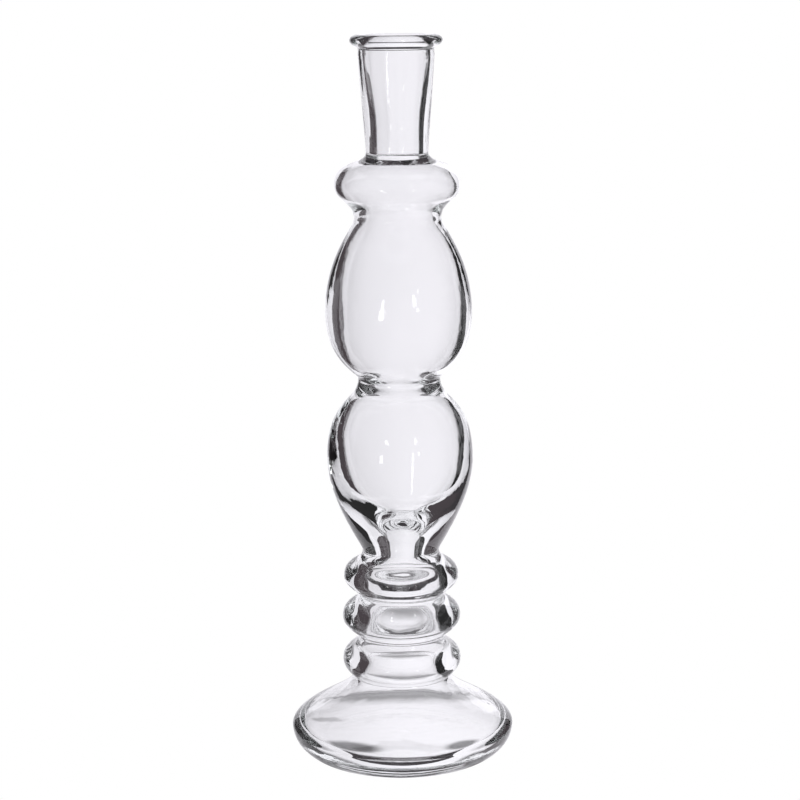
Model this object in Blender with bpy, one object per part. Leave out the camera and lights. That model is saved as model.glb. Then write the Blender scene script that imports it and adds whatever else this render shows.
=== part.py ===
"""Glass bud vase: one hollow, mould-blown vessel of clear glass, turned about +Z.

Run with: blender --background --python part.py

The vessel is a single piece, so it is a single object. Its wall is drawn as two
turned curves, the outside and the cavity. Each curve is a short list of the
places where it is widest or narrowest, and it is vertical at every one of them.
"""

from collections import namedtuple
from math import cos, hypot, pi, sin

import bpy

MM = 0.001

# Driving dimensions, in millimetres.
HEIGHT = 285.0
RIM_CREST_RADIUS = 14.6
FOOT_RING_OUTER_RADIUS = 33.5
FOOT_RING_INNER_RADIUS = 30.5
FOOT_EDGE_REACH = 6.0
PUNT_RISE = 1.6
PUNT_SHOULDER = 6.0
FLOOR_CORNER_RADIUS = 33.0
FLOOR_CORNER_REACH = 4.0
FLOOR_EDGE_HEIGHT = 5.6
FLOOR_CENTRE_HEIGHT = 7.4

# Mesh fineness.
SEGMENTS = 40
OUTSIDE_STEP_LENGTH = 6.0
CAVITY_STEP_LENGTH = 8.0
FEWEST_STEPS = 3
CORNER_STEPS = 4

# A turn is a widest or narrowest place: its height and radius in millimetres, and
# how much of the way to the turn above, and below, its vertical handle reaches.
Turn = namedtuple("Turn", "height radius above below")

OUTSIDE = (
    Turn(282.8, 17.8, 0.60, 0.50),  # lip
    Turn(279.7, 14.6, 0.15, 0.25),  # top of the neck
    Turn(240.4, 12.1, 0.15, 0.40),  # foot of the neck
    Turn(228.1, 24.5, 0.80, 0.45),  # collar
    Turn(215.2, 16.9, 0.50, 0.10),  # waist under the collar
    Turn(178.5, 28.6, 0.60, 0.75),  # upper bulb
    Turn(152.4, 16.1, 0.10, 0.30),  # middle waist
    Turn(120.2, 28.8, 0.75, 0.45),  # lower bulb
    Turn(83.0, 15.3, 0.05, 0.55),  # lower waist
    Turn(72.1, 22.9, 0.65, 0.50),  # first ring
    Turn(64.1, 16.9, 0.30, 0.30),  # first groove
    Turn(55.6, 23.6, 0.70, 0.60),  # second ring
    Turn(47.1, 17.7, 0.35, 0.40),  # second groove
    Turn(37.6, 23.7, 0.60, 0.55),  # third ring
    Turn(31.0, 19.8, 0.10, 0.35),  # foot of the stem
    Turn(10.3, 44.6, 0.25, 0.55),  # foot
)

CAVITY = (
    Turn(281.5, 11.8, 0.60, 0.45),  # mouth
    Turn(249.0, 8.6, 0.30, 0.40),  # narrowest part of the neck bore
    Turn(237.0, 8.6, 0.40, 0.12),  # foot of the neck bore
    Turn(227.6, 22.0, 0.85, 0.38),  # chamber in the collar
    Turn(215.2, 13.7, 0.50, 0.12),  # waist under the collar
    Turn(179.3, 23.9, 0.72, 0.82),  # upper bulb
    Turn(150.6, 10.5, 0.20, 0.10),  # middle waist
    Turn(127.0, 23.6, 0.66, 0.64),  # lower bulb
    Turn(84.5, 5.7, 0.40, 0.45),  # throat above the rings
    Turn(68.5, 15.5, 0.35, 0.45),  # first ring
    Turn(62.5, 14.0, 0.45, 0.45),  # first groove
    Turn(55.0, 16.5, 0.45, 0.45),  # second ring
    Turn(46.8, 14.6, 0.45, 0.45),  # second groove
    Turn(38.5, 17.5, 0.45, 0.45),  # third ring
    Turn(31.0, 16.0, 0.30, 0.40),  # foot of the stem
    Turn(10.5, 40.4, 0.25, 0.60),  # foot chamber
)


def bezier(start, start_handle, end_handle, end, steps):
    """Points along a cubic, without its start, as (radius, height) in millimetres."""
    points = []
    for step in range(1, steps + 1):
        t = step / steps
        weights = ((1 - t) ** 3, 3 * t * (1 - t) ** 2, 3 * t * t * (1 - t), t ** 3)
        corners = (start, start_handle, end_handle, end)
        points.append(tuple(sum(w * c[axis] for w, c in zip(weights, corners)) for axis in (0, 1)))
    return points


def turned_curve(turns, step_length):
    """The curve down through the turns, from the first to the last."""
    points = [(turns[0].radius, turns[0].height)]
    for upper, lower in zip(turns, turns[1:]):
        drop = upper.height - lower.height
        steps = max(FEWEST_STEPS, round(hypot(drop, upper.radius - lower.radius) / step_length))
        upper_handle = (upper.radius, upper.height - upper.below * drop)
        lower_handle = (lower.radius, lower.height + lower.above * drop)
        start = (upper.radius, upper.height)
        end = (lower.radius, lower.height)
        points += bezier(start, upper_handle, lower_handle, end, steps)
    return points


def rim_curve(steps):
    """The rounded rim from the cavity's mouth over the crest to the lip, ends left out."""
    mouth = CAVITY[0]
    lip = OUTSIDE[0]
    points = []
    for step in range(1, steps):
        angle = 0.5 * pi * step / steps
        radius = RIM_CREST_RADIUS - (RIM_CREST_RADIUS - mouth.radius) * cos(angle)
        points.append((radius, mouth.height + (HEIGHT - mouth.height) * sin(angle)))
    points.append((RIM_CREST_RADIUS, HEIGHT))
    for step in range(1, steps):
        angle = 0.5 * pi * step / steps
        radius = RIM_CREST_RADIUS + (lip.radius - RIM_CREST_RADIUS) * sin(angle)
        points.append((radius, lip.height + (HEIGHT - lip.height) * cos(angle)))
    return points


def floor_curve():
    """The cavity's floor from its centre out to the widest part of the foot chamber."""
    chamber = CAVITY[-1]
    edge = (FLOOR_CORNER_RADIUS, FLOOR_EDGE_HEIGHT)
    edge_handle = (FLOOR_CORNER_RADIUS + FLOOR_CORNER_REACH, FLOOR_EDGE_HEIGHT)
    drop = chamber.height - FLOOR_EDGE_HEIGHT
    chamber_handle = (chamber.radius, chamber.height - chamber.below * drop)
    points = [(0.0, FLOOR_CENTRE_HEIGHT)]
    centre_handle = (FLOOR_CORNER_RADIUS / 3, FLOOR_CENTRE_HEIGHT)
    inner_handle = (FLOOR_CORNER_RADIUS * 2 / 3, FLOOR_EDGE_HEIGHT)
    points += bezier(points[0], centre_handle, inner_handle, edge, CORNER_STEPS)
    widest = (chamber.radius, chamber.height)
    points += bezier(edge, edge_handle, chamber_handle, widest, CORNER_STEPS)
    return points


def base_curve():
    """The underside from the foot's edge, in across the flat ring, to the centre of the punt."""
    foot = OUTSIDE[-1]
    ring = (FOOT_RING_OUTER_RADIUS, 0.0)
    foot_handle = (foot.radius, foot.height * (1 - foot.below))
    ring_handle = (FOOT_RING_OUTER_RADIUS + FOOT_EDGE_REACH, 0.0)
    points = bezier((foot.radius, foot.height), foot_handle, ring_handle, ring, CORNER_STEPS)
    inner = (FOOT_RING_INNER_RADIUS, 0.0)
    points.append(inner)
    punt_edge_handle = (FOOT_RING_INNER_RADIUS - PUNT_SHOULDER, 0.0)
    punt_centre_handle = (FOOT_RING_INNER_RADIUS / 2, PUNT_RISE)
    points += bezier(inner, punt_edge_handle, punt_centre_handle, (0.0, PUNT_RISE), CORNER_STEPS)
    return points


def vessel_profile():
    """Half of the wall's section: up the cavity, over the rim, down the outside and under."""
    profile = floor_curve()
    profile += turned_curve(CAVITY, CAVITY_STEP_LENGTH)[-2::-1]
    profile += rim_curve(CORNER_STEPS)
    profile += turned_curve(OUTSIDE, OUTSIDE_STEP_LENGTH)
    profile += base_curve()
    return profile


def glass_material():
    material = bpy.data.materials.new("clear_glass")
    material.use_nodes = True
    shader = material.node_tree.nodes["Principled BSDF"]
    shader.inputs["Base Color"].default_value = (0.93, 0.95, 0.95, 1.0)
    shader.inputs["Metallic"].default_value = 0.0
    shader.inputs["Roughness"].default_value = 0.03
    shader.inputs["IOR"].default_value = 1.52
    shader.inputs["Transmission Weight"].default_value = 1.0
    return material


def turned_object(name, profile, material):
    """An object whose profile, drawn at +X, is screwed once round +Z."""
    mesh = bpy.data.meshes.new(name)
    points = [(radius * MM, 0.0, height * MM) for radius, height in profile]
    edges = [(index, index + 1) for index in range(len(points) - 1)]
    mesh.from_pydata(points, edges, [])
    mesh.materials.append(material)
    turned = bpy.data.objects.new(name, mesh)
    bpy.context.collection.objects.link(turned)
    screw = turned.modifiers.new("Turn", "SCREW")
    screw.steps = SEGMENTS
    screw.render_steps = SEGMENTS
    screw.use_merge_vertices = True
    screw.merge_threshold = 0.00001
    screw.use_smooth_shade = True
    return turned


def clear_scene():
    for item in list(bpy.data.objects):
        bpy.data.objects.remove(item, do_unlink=True)


def main():
    clear_scene()
    turned_object("glass_vessel", vessel_profile(), glass_material())


main()
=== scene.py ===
"""Looks of the glass bud vase: one vessel of clear mould-blown glass in a white studio."""

import math
from collections import namedtuple

import bpy
import numpy as np
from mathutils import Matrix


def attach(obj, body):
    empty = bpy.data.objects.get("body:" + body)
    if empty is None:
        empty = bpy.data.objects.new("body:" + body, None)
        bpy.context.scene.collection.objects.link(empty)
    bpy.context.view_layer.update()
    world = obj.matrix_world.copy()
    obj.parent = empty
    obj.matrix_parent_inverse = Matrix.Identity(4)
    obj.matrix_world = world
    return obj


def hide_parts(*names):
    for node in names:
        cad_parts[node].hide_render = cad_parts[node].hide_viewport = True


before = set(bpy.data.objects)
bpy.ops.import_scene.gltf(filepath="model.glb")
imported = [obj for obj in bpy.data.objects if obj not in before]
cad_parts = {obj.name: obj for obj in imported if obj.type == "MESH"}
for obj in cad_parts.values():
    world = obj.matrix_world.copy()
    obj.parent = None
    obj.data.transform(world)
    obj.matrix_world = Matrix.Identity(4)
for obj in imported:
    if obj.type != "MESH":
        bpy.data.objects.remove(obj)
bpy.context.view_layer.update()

MM = 0.001
TAU = 2 * math.pi

# ---------------------------------------------------------------- the vessel's shape

# Heights and radii are in millimetres, as in the CAD part's own table.
Turn = namedtuple("Turn", "height radius above below")

OUTSIDE = (
    Turn(282.8, 17.8, 0.60, 0.50),  # lip
    Turn(279.7, 14.6, 0.15, 0.25),  # top of the neck
    Turn(240.4, 12.1, 0.15, 0.40),  # foot of the neck
    Turn(228.1, 24.5, 0.80, 0.45),  # collar
    Turn(215.2, 16.9, 0.50, 0.10),  # waist under the collar
    Turn(178.5, 28.6, 0.60, 0.75),  # upper bulb
    Turn(152.4, 16.1, 0.10, 0.30),  # middle waist
    Turn(120.2, 28.8, 0.75, 0.45),  # lower bulb
    Turn(83.0, 15.3, 0.05, 0.55),  # lower waist
    Turn(72.1, 22.9, 0.65, 0.50),  # first ring
    Turn(64.1, 16.9, 0.30, 0.30),  # first groove
    Turn(55.6, 23.6, 0.70, 0.60),  # second ring
    Turn(47.1, 17.7, 0.35, 0.40),  # second groove
    Turn(37.6, 23.7, 0.60, 0.55),  # third ring
    Turn(31.0, 19.8, 0.10, 0.35),  # foot of the stem
    Turn(10.3, 44.55, 0.25, 0.55),  # foot, just inside the CAD part's own
)

CAVITY = (
    Turn(281.5, 11.8, 0.60, 0.45),  # mouth
    Turn(249.0, 8.6, 0.30, 0.40),  # narrowest part of the neck bore
    Turn(237.0, 8.6, 0.40, 0.12),  # foot of the neck bore
    Turn(227.6, 22.0, 0.85, 0.38),  # chamber in the collar
    Turn(215.2, 13.7, 0.50, 0.12),  # waist under the collar
    Turn(179.3, 23.9, 0.72, 0.82),  # upper bulb
    Turn(150.6, 10.5, 0.20, 0.10),  # middle waist
    Turn(127.0, 23.6, 0.66, 0.64),  # lower bulb
    Turn(84.5, 5.7, 0.40, 0.45),  # throat above the rings
    Turn(68.5, 15.5, 0.35, 0.45),  # first ring
    Turn(62.5, 14.0, 0.45, 0.45),  # first groove
    Turn(55.0, 16.5, 0.45, 0.45),  # second ring
    Turn(46.8, 14.6, 0.45, 0.45),  # second groove
    Turn(38.5, 17.5, 0.45, 0.45),  # third ring
    Turn(31.0, 16.0, 0.30, 0.40),  # foot of the stem
    Turn(10.5, 40.4, 0.25, 0.60),  # foot chamber
)

RIM_HEIGHT = 285.0
RIM_CREST_RADIUS = 14.6
FOOT_RING_OUTER = 33.5
FOOT_RING_INNER = 30.5
FOOT_EDGE_REACH = 6.0
PUNT_RISE = 1.6
PUNT_SHOULDER = 6.0
FLOOR_CORNER_RADIUS = 33.0
FLOOR_CORNER_REACH = 4.0
FLOOR_EDGE_HEIGHT = 5.6
FLOOR_CENTRE_HEIGHT = 7.4

# Mesh fineness.
POINT_SPACING = 0.8
FEWEST_STEPS = 8
RIM_STEPS = 14
SEGMENTS = 384

# Detail that the CAD part leaves out.
PARTING_HEIGHTS = (277.6, 276.0)
PARTING_RISE = 0.22
PARTING_WIDTH = 0.28
OUTSIDE_UNEVEN = 0.10
OUTSIDE_FADE_HEIGHT = 40.0
CAVITY_UNEVEN = 0.14
CAVITY_FADE_HEIGHTS = (10.0, 30.0, 276.0, 282.0)
STREAK = 0.035
STREAK_HEIGHTS = (225.0, 245.0)
STIPPLE_RADIUS = 32.0
STIPPLE_REACH = 1.6
STIPPLE_DEPTH = 0.05
STIPPLE_COUNT = 96
UNDERSIDE_HEIGHT = 1.0
UNDERSIDE_RADIUS = 36.0

# How far the cavity sits off centre: distance, height of the middle, and reach.
CAVITY_ASIDE = ((0.50, 192.0, 28.0), (0.75, 112.0, 20.0), (0.35, 52.0, 20.0))


def cubic(corners):
    """Points along a cubic, without its start, as rows of (radius, height)."""
    corners = np.array(corners, float)
    length = np.linalg.norm(corners[3] - corners[0])
    steps = max(FEWEST_STEPS, round(length * 1.15 / POINT_SPACING))
    t = np.linspace(0, 1, steps + 1)[1:, None]
    weights = ((1 - t) ** 3, 3 * t * (1 - t) ** 2, 3 * t * t * (1 - t), t**3)
    return sum(w * c for w, c in zip(weights, corners))


def turned_curve(turns):
    """The curve down through the turns."""
    points = [np.array([[turns[0].radius, turns[0].height]])]
    for upper, lower in zip(turns, turns[1:]):
        drop = upper.height - lower.height
        points.append(cubic((
            (upper.radius, upper.height),
            (upper.radius, upper.height - upper.below * drop),
            (lower.radius, lower.height + lower.above * drop),
            (lower.radius, lower.height),
        )))
    return np.concatenate(points)


def rim_curve():
    """Over the rounded rim from the mouth to the lip, both ends left out."""
    mouth, lip = CAVITY[0], OUTSIDE[0]
    angle = np.linspace(0, math.pi / 2, RIM_STEPS + 1)
    inner = np.stack((
        RIM_CREST_RADIUS - (RIM_CREST_RADIUS - mouth.radius) * np.cos(angle),
        mouth.height + (RIM_HEIGHT - mouth.height) * np.sin(angle),
    ), axis=1)
    outer = np.stack((
        RIM_CREST_RADIUS + (lip.radius - RIM_CREST_RADIUS) * np.sin(angle),
        lip.height + (RIM_HEIGHT - lip.height) * np.cos(angle),
    ), axis=1)
    return np.concatenate((inner[1:], outer[1:-1]))


def floor_curve():
    """The cavity's floor, from its centre out to the widest part of the foot chamber."""
    chamber = CAVITY[-1]
    drop = chamber.height - FLOOR_EDGE_HEIGHT
    centre = np.array([[0.0, FLOOR_CENTRE_HEIGHT]])
    plain = cubic((
        (0.0, FLOOR_CENTRE_HEIGHT),
        (FLOOR_CORNER_RADIUS / 3, FLOOR_CENTRE_HEIGHT),
        (FLOOR_CORNER_RADIUS * 2 / 3, FLOOR_EDGE_HEIGHT),
        (FLOOR_CORNER_RADIUS, FLOOR_EDGE_HEIGHT),
    ))
    corner = cubic((
        (FLOOR_CORNER_RADIUS, FLOOR_EDGE_HEIGHT),
        (FLOOR_CORNER_RADIUS + FLOOR_CORNER_REACH, FLOOR_EDGE_HEIGHT),
        (chamber.radius, chamber.height - chamber.below * drop),
        (chamber.radius, chamber.height),
    ))
    return np.concatenate((centre, plain, corner))


def base_curve():
    """Under the foot: its rounded edge, the flat ring that it stands on, and the punt."""
    foot = OUTSIDE[-1]
    edge = cubic((
        (foot.radius, foot.height),
        (foot.radius, foot.height * (1 - foot.below)),
        (FOOT_RING_OUTER + FOOT_EDGE_REACH, 0.0),
        (FOOT_RING_OUTER, 0.0),
    ))
    ring = cubic((
        (FOOT_RING_OUTER, 0.0),
        (FOOT_RING_OUTER - 1.0, 0.0),
        (FOOT_RING_INNER + 1.0, 0.0),
        (FOOT_RING_INNER, 0.0),
    ))
    punt = cubic((
        (FOOT_RING_INNER, 0.0),
        (FOOT_RING_INNER - PUNT_SHOULDER, 0.0),
        (FOOT_RING_INNER / 2, PUNT_RISE),
        (0.0, PUNT_RISE),
    ))
    return np.concatenate((edge, ring, punt))


def bell(value, middle, width):
    """A smooth hump of height 1 round the middle."""
    return np.exp(-(((value - middle) / width) ** 2))


def ramp(value, low, high):
    """A straight rise from 0 at low to 1 at high, flat outside."""
    return np.clip((value - low) / (high - low), 0, 1)


def parting_lines(radius, height):
    """The two fine ridges that the mould left round the neck, under the lip."""
    for line in PARTING_HEIGHTS:
        radius = radius + PARTING_RISE * bell(height, line, PARTING_WIDTH)
    return radius


def uneven_outside(radius, height, angle):
    """The slight unevenness of hand-finished glass; only ever inwards, and none under the foot."""
    wave = (
        0.5 * np.sin(2 * angle + 0.031 * height)
        + 0.3 * np.sin(3 * angle - 0.083 * height + 1.3)
        + 0.2 * np.sin(5 * angle + 0.17 * height + 0.4)
    )
    return radius - OUTSIDE_UNEVEN * (1 + wave) / 2 * ramp(height, 0.0, OUTSIDE_FADE_HEIGHT)


def uneven_cavity(radius, height, angle):
    """The cavity's own unevenness, with upright streaks where the neck was drawn."""
    wave = (
        0.6 * np.sin(2 * angle - 0.047 * height + 0.8)
        + 0.4 * np.sin(3 * angle + 0.071 * height + 2.1)
        + 0.3 * np.sin(7 * angle + 0.052 * height)
    )
    streaks = 0.6 * np.sin(13 * angle + 0.5) + 0.4 * np.sin(21 * angle + 1.9)
    foot, above_foot, below_rim, rim = CAVITY_FADE_HEIGHTS
    ends = ramp(height, foot, above_foot) * ramp(height, rim, below_rim)
    return radius + ends * (CAVITY_UNEVEN * wave + STREAK * streaks * ramp(height, *STREAK_HEIGHTS))


def cavity_aside(height):
    """How far the cavity sits to +X of the outside, because the bubble was blown off centre."""
    return sum(distance * bell(height, middle, reach) for distance, middle, reach in CAVITY_ASIDE)


def stippled(height, radius, angle):
    """Small notches round the ring that the foot stands on, cut upwards from the flat."""
    across = np.clip(1 - ((radius - STIPPLE_RADIUS) / STIPPLE_REACH) ** 2, 0, 1)
    return height + STIPPLE_DEPTH * across * (0.5 - 0.5 * np.cos(STIPPLE_COUNT * angle))


def ring_points(profile, inner_points):
    """Where the profile's points lie at every angle round +Z, without its two ends on the axis."""
    middle = profile[1:-1]
    radius = np.repeat(middle[:, 0, None], SEGMENTS, axis=1)
    z = np.repeat(middle[:, 1, None], SEGMENTS, axis=1)
    angle = np.repeat((np.arange(SEGMENTS) * TAU / SEGMENTS)[None, :], len(middle), axis=0)
    inside = np.zeros(radius.shape, bool)
    inside[: inner_points - 1] = True
    under = ~inside & (z < UNDERSIDE_HEIGHT) & (radius < UNDERSIDE_RADIUS)
    outer = uneven_outside(parting_lines(radius, z), z, angle)
    radius = np.where(inside, uneven_cavity(radius, z, angle), np.where(under, radius, outer))
    x = radius * np.cos(angle) + np.where(inside, cavity_aside(z), 0.0)
    y = radius * np.sin(angle)
    z = np.where(under, stippled(z, radius, angle), z)
    return np.stack((x, y, z), axis=2).reshape(-1, 3)


def ring_faces(rows):
    """Quads between the rings, and a fan of triangles to the first point and to the last."""
    row, column = np.meshgrid(np.arange(rows - 1), np.arange(SEGMENTS), indexing="ij")
    here = 1 + row * SEGMENTS + column
    beside = 1 + row * SEGMENTS + (column + 1) % SEGMENTS
    quads = np.stack((here, here + SEGMENTS, beside + SEGMENTS, beside), axis=2).reshape(-1, 4)
    first = 1 + np.arange(SEGMENTS)
    last = first + (rows - 1) * SEGMENTS
    end = rows * SEGMENTS + 1
    first_fan = np.stack((np.zeros_like(first), first, np.roll(first, -1)), axis=1)
    last_fan = np.stack((np.full_like(last, end), np.roll(last, -1), last), axis=1)
    return [*quads.tolist(), *first_fan.tolist(), *last_fan.tolist()]


def revolved(name, profile, inner_points):
    """A closed mesh round +Z. The profile's two ends are on the axis, and it starts inside the cavity."""
    start = np.array([[0.0, 0.0, profile[0, 1]]])
    end = np.array([[0.0, 0.0, profile[-1, 1]]])
    points = np.concatenate((start, ring_points(profile, inner_points), end)) * MM
    mesh = bpy.data.meshes.new(name)
    mesh.from_pydata(points.tolist(), [], ring_faces(len(profile) - 2))
    mesh.polygons.foreach_set("use_smooth", [True] * len(mesh.polygons))
    mesh.update()
    return mesh


def vessel():
    inner = np.concatenate((floor_curve(), turned_curve(CAVITY)[-2::-1]))
    profile = np.concatenate((inner, rim_curve(), turned_curve(OUTSIDE), base_curve()))
    mesh = revolved("vase_glass", profile, len(inner))
    piece = bpy.data.objects.new("vase_glass", mesh)
    bpy.context.collection.objects.link(piece)
    return piece


# ---------------------------------------------------------------- materials

GLASS_IOR = 1.52
GLASS_BODY_COLOUR = (0.72, 0.88, 0.82, 1.0)
GLASS_BODY_DENSITY = 1.6
CLEAREST_TINT = (0.998, 0.998, 0.999, 1.0)
DULLEST_TINT = (0.989, 0.990, 0.991, 1.0)
TINT_NOISE = (24.0, 2.0, 0.0)
MARKS_NOISE = (55.0, 4.0, 0.8)
MARKS_ROUGHNESS = 0.045
RIPPLE_NOISE = (95.0, 2.0, 0.3)
RIPPLE_HEIGHT = 0.0001


def noise(tree, vector, scale, detail, distortion):
    node = tree.nodes.new("ShaderNodeTexNoise")
    node.inputs["Scale"].default_value = scale
    node.inputs["Detail"].default_value = detail
    node.inputs["Distortion"].default_value = distortion
    tree.links.new(vector, node.inputs["Vector"])
    return node.outputs["Fac"]


def eased(tree, value, from_range, to_range):
    """A value carried from one range to another, with soft ends."""
    node = tree.nodes.new("ShaderNodeMapRange")
    node.interpolation_type = "SMOOTHSTEP"
    node.inputs["From Min"].default_value = from_range[0]
    node.inputs["From Max"].default_value = from_range[1]
    node.inputs["To Min"].default_value = to_range[0]
    node.inputs["To Max"].default_value = to_range[1]
    tree.links.new(value, node.inputs["Value"])
    return node.outputs["Result"]


def arithmetic(tree, operation, first, second):
    """A Math node on two values; the second may be a plain number."""
    node = tree.nodes.new("ShaderNodeMath")
    node.operation = operation
    tree.links.new(first, node.inputs[0])
    if isinstance(second, float):
        node.inputs[1].default_value = second
    else:
        tree.links.new(second, node.inputs[1])
    return node.outputs["Value"]


def clear_glass():
    """Clear soda-lime glass: a slight grey-green body, faint ripples, and a few dull finger marks."""
    material = bpy.data.materials.new("clear_glass")
    material.use_nodes = True
    tree = material.node_tree
    shader = tree.nodes["Principled BSDF"]
    shader.inputs["IOR"].default_value = GLASS_IOR
    shader.inputs["Transmission Weight"].default_value = 1.0
    place = tree.nodes.new("ShaderNodeTexCoord").outputs["Object"]

    marks = eased(tree, noise(tree, place, *MARKS_NOISE), (0.58, 0.78), (0.0, MARKS_ROUGHNESS))
    tree.links.new(marks, shader.inputs["Roughness"])

    tint = tree.nodes.new("ShaderNodeMix")
    tint.data_type = "RGBA"
    tint.inputs["A"].default_value = CLEAREST_TINT
    tint.inputs["B"].default_value = DULLEST_TINT
    cloud = eased(tree, noise(tree, place, *TINT_NOISE), (0.35, 0.65), (0.0, 1.0))
    tree.links.new(cloud, tint.inputs["Factor"])
    tree.links.new(tint.outputs["Result"], shader.inputs["Base Color"])

    ripple = tree.nodes.new("ShaderNodeBump")
    ripple.inputs["Strength"].default_value = 1.0
    ripple.inputs["Distance"].default_value = RIPPLE_HEIGHT
    tree.links.new(noise(tree, place, *RIPPLE_NOISE), ripple.inputs["Height"])
    tree.links.new(ripple.outputs["Normal"], shader.inputs["Normal"])

    body = tree.nodes.new("ShaderNodeVolumeAbsorption")
    body.inputs["Color"].default_value = GLASS_BODY_COLOUR
    body.inputs["Density"].default_value = GLASS_BODY_DENSITY
    tree.links.new(body.outputs["Volume"], tree.nodes["Material Output"].inputs["Volume"])
    return material


def glow(name, colour, strength):
    """A material that only shines. Its strength is a number."""
    material = bpy.data.materials.new(name)
    material.use_nodes = True
    tree = material.node_tree
    tree.nodes.clear()
    emission = tree.nodes.new("ShaderNodeEmission")
    emission.name = "shine"
    emission.inputs["Color"].default_value = (*colour, 1.0)
    emission.inputs["Strength"].default_value = strength
    output = tree.nodes.new("ShaderNodeOutputMaterial")
    tree.links.new(emission.outputs[0], output.inputs["Surface"])
    return material


# ---------------------------------------------------------------- the studio

# Metres, with the vase's foot at the origin and the camera on the -Y side.
CAMERA_DISTANCE = 0.7865
CAMERA_ASIDE = 0.0018
CAMERA_HEIGHT = 0.3092
CAMERA_PITCH = math.radians(11.91)
CAMERA_ROLL = math.radians(0.55)
CAMERA_LENS = 92.0

WORLD_COLOUR = (0.05, 0.045, 0.05, 1.0)
MOST_BOUNCES = 32

# The plain white floor and sky that only the camera sees.
FLOOR_SIZE = 24.0
FLOOR_DROP = 0.0005
SKY_DISTANCE = 10.0
SKY_HEIGHT = 16.0

# The table and backdrop that the glass sees, brighter to the right.
SWEEP_COLOUR = (0.965, 0.950, 1.0)
SWEEP_STRENGTH = (0.93, 1.10)
SWEEP_WIDTH = 1.6
TABLE_DEPTH = 1.25
TABLE_NEAR_EDGE = -0.036
TABLE_DROP = 0.001
TABLE_RUN = (-0.29, 0.10)
TABLE_VIEWPOINT = 0.12
BACKDROP_DISTANCE = 1.2
BACKDROP_HEIGHT = 0.9
BACKDROP_RUN = (-0.35, 0.12)

# Soft oval shadows on the table. Each fades out between these shares of its half size.
Shadow = namedtuple("Shadow", "x y half_width half_depth darkness")
SHADOW_EDGE = (0.55, 1.15)
TABLE_SHADOWS = (
    Shadow(0.000, 0.085, 0.045, 0.040, 0.60),
    Shadow(-0.0215, -0.019, 0.0140, 0.011, 0.82),
    Shadow(0.0255, -0.019, 0.0090, 0.010, 0.80),
    Shadow(-0.0330, 0.020, 0.0100, 0.004, 0.45),
)

# Upright dark cards beside the vase; the angle is from +Y.
Flag = namedtuple("Flag", "name angle colour strength")
FLAGS = (
    Flag("left_flag", math.radians(-25), (1.0, 0.84, 0.93), 0.070),
    Flag("right_flag", math.radians(29), (1.0, 1.0, 1.02), 0.022),
)
FLAG_START = (0.055, -0.03)
FLAG_LENGTH = 1.45
FLAG_HEIGHT = 0.7

# Bright panes that leave the small highlights; the angles are from the camera's side.
Window = namedtuple("Window", "name azimuth elevation width height")
WINDOWS = (
    Window("window_left", math.radians(-28), math.radians(-4), 0.11, 0.16),
    Window("window_right", math.radians(30), math.radians(1), 0.07, 0.06),
)
WINDOW_STRENGTH = 6.0
WINDOW_DISTANCE = 1.2
WINDOW_CENTRE_HEIGHT = 0.17


def camera():
    data = bpy.data.cameras.new("camera")
    data.lens = CAMERA_LENS
    data.clip_start = 0.05
    data.clip_end = 50.0
    eye = bpy.data.objects.new("camera", data)
    bpy.context.collection.objects.link(eye)
    eye.location = (CAMERA_ASIDE, -CAMERA_DISTANCE, CAMERA_HEIGHT)
    eye.rotation_euler = (math.pi / 2 - CAMERA_PITCH, CAMERA_ROLL, 0.0)
    bpy.context.scene.camera = eye
    return eye


def card(name, material, size, place, turn=(0, 0, 0), parent=None, middle=(0, 0)):
    """A flat glowing card that only the glass sees. Its place and turn are in the parent's space."""
    mesh = bpy.data.meshes.new(name)
    w, h = size[0] / 2, size[1] / 2
    corners = ((-w, -h), (w, -h), (w, h), (-w, h))
    mesh.from_pydata([(x + middle[0], y + middle[1], 0) for x, y in corners], [], [(0, 1, 2, 3)])
    mesh.materials.append(material)
    item = bpy.data.objects.new(name, mesh)
    bpy.context.collection.objects.link(item)
    item.parent = parent
    item.location = place
    item.rotation_euler = turn
    item.visible_camera = False
    item.visible_shadow = False
    item.visible_diffuse = False
    return item


def show_only_to_camera(item):
    item.visible_camera = True
    item.visible_transmission = False
    item.visible_glossy = False


def shadowed(tree, value, place, shadow):
    """The value, made darker inside one soft-edged oval."""
    oval = tree.nodes.new("ShaderNodeMapping")
    oval.vector_type = "TEXTURE"
    oval.inputs["Location"].default_value = (shadow.x, shadow.y, 0.0)
    oval.inputs["Scale"].default_value = (shadow.half_width, shadow.half_depth, 1.0)
    tree.links.new(place, oval.inputs["Vector"])
    away = tree.nodes.new("ShaderNodeVectorMath")
    away.operation = "LENGTH"
    tree.links.new(oval.outputs["Vector"], away.inputs[0])
    fade = eased(tree, away.outputs["Value"], SHADOW_EDGE, (1.0 - shadow.darkness, 1.0))
    return arithmetic(tree, "MULTIPLY", value, fade)


def shaded_white(name, run, viewpoint=None, shadows=()):
    """A white glow that grows from left to right, or by slant from a point in front of the vase."""
    material = glow(name, SWEEP_COLOUR, 1.0)
    tree = material.node_tree
    place = tree.nodes.new("ShaderNodeTexCoord").outputs["Object"]
    split = tree.nodes.new("ShaderNodeSeparateXYZ")
    tree.links.new(place, split.inputs[0])
    across = split.outputs["X"]
    if viewpoint:
        across = arithmetic(tree, "DIVIDE", across, arithmetic(tree, "ADD", split.outputs["Y"], viewpoint))
    strength = eased(tree, across, run, SWEEP_STRENGTH)
    for shadow in shadows:
        strength = shadowed(tree, strength, place, shadow)
    tree.links.new(strength, tree.nodes["shine"].inputs["Strength"])
    return material


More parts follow.
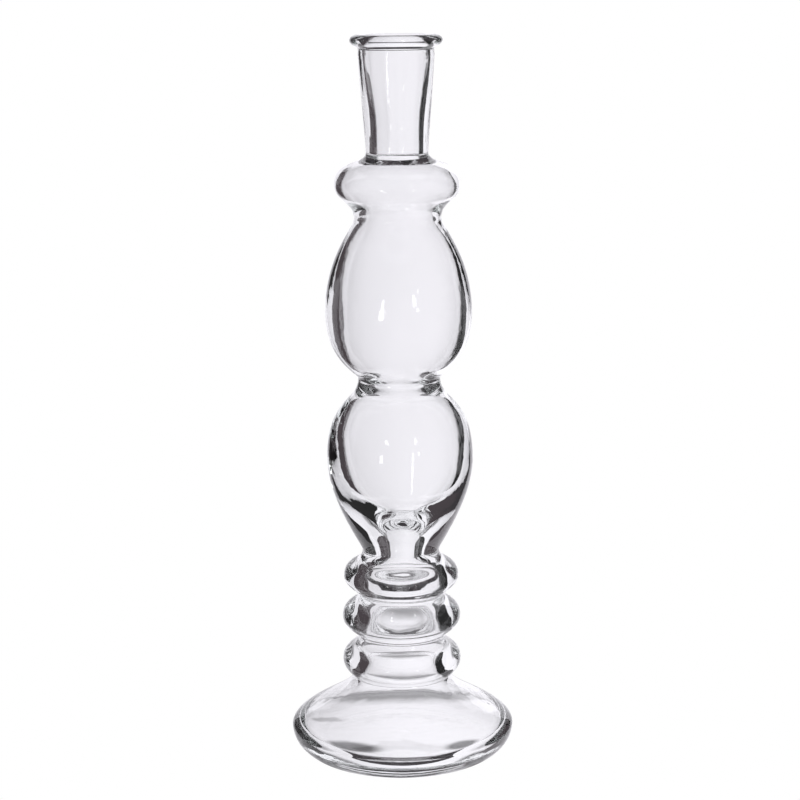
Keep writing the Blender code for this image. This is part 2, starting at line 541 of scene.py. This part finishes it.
def flag(side, parent):
    """An upright dark card that stands beside the vase and runs back and outwards."""
    x = math.copysign(FLAG_START[0], side.angle) + FLAG_LENGTH / 2 * math.sin(side.angle)
    y = FLAG_START[1] + FLAG_LENGTH / 2 * math.cos(side.angle)
    turn = (math.pi / 2, 0, math.pi / 2 - side.angle)
    dark = glow(side.name, side.colour, side.strength)
    card(side.name, dark, (FLAG_LENGTH, FLAG_HEIGHT), (x, y, FLAG_HEIGHT / 2), turn, parent)


def window(pane, parent):
    """A bright pane on the camera's side, facing the vase."""
    out = WINDOW_DISTANCE * math.cos(pane.elevation)
    place = (
        out * math.sin(pane.azimuth),
        -out * math.cos(pane.azimuth),
        WINDOW_CENTRE_HEIGHT + WINDOW_DISTANCE * math.sin(pane.elevation),
    )
    white = glow(pane.name, (1.0, 1.0, 1.0), WINDOW_STRENGTH)
    card(pane.name, white, (pane.width, pane.height), place, (math.pi / 2, 0, pane.azimuth), parent)


def turning_rig(eye):
    """An empty that turns with the camera about Z, so that every view is lit as the main one is."""
    rig = bpy.data.objects.new("studio_turn", None)
    bpy.context.collection.objects.link(rig)
    follow = rig.constraints.new("COPY_ROTATION")
    follow.target = eye
    follow.use_x = False
    follow.use_y = False
    return rig


def studio(eye):
    scene = bpy.context.scene
    scene.view_settings.view_transform = "Standard"
    scene.cycles.max_bounces = MOST_BOUNCES
    scene.cycles.transmission_bounces = MOST_BOUNCES
    scene.cycles.glossy_bounces = MOST_BOUNCES

    world = bpy.data.worlds.new("studio_dark")
    scene.world = world
    world.use_nodes = True
    world.node_tree.nodes["Background"].inputs["Color"].default_value = WORLD_COLOUR

    rig = turning_rig(eye)
    upright = (math.pi / 2, 0, 0)
    white = glow("floor_white", (1.0, 1.0, 1.0), 1.0)
    show_only_to_camera(card("floor", white, (FLOOR_SIZE, FLOOR_SIZE), (0, 0, -FLOOR_DROP)))
    show_only_to_camera(card("sky", white, (FLOOR_SIZE, SKY_HEIGHT), (0, SKY_DISTANCE, 0), upright, rig))

    table = shaded_white("table_white", TABLE_RUN, TABLE_VIEWPOINT, TABLE_SHADOWS)
    middle = (0, TABLE_DEPTH / 2 + TABLE_NEAR_EDGE)
    card("table", table, (SWEEP_WIDTH, TABLE_DEPTH), (0, 0, -TABLE_DROP), parent=rig, middle=middle)
    backdrop = shaded_white("sweep_white", BACKDROP_RUN)
    place = (0, BACKDROP_DISTANCE, BACKDROP_HEIGHT / 2)
    card("backdrop", backdrop, (SWEEP_WIDTH, BACKDROP_HEIGHT), place, upright, rig)
    for side in FLAGS:
        flag(side, rig)
    for pane in WINDOWS:
        window(pane, rig)


glass = vessel()
glass.data.materials.append(clear_glass())
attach(glass, "root")
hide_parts("glass_vessel")
studio(camera())
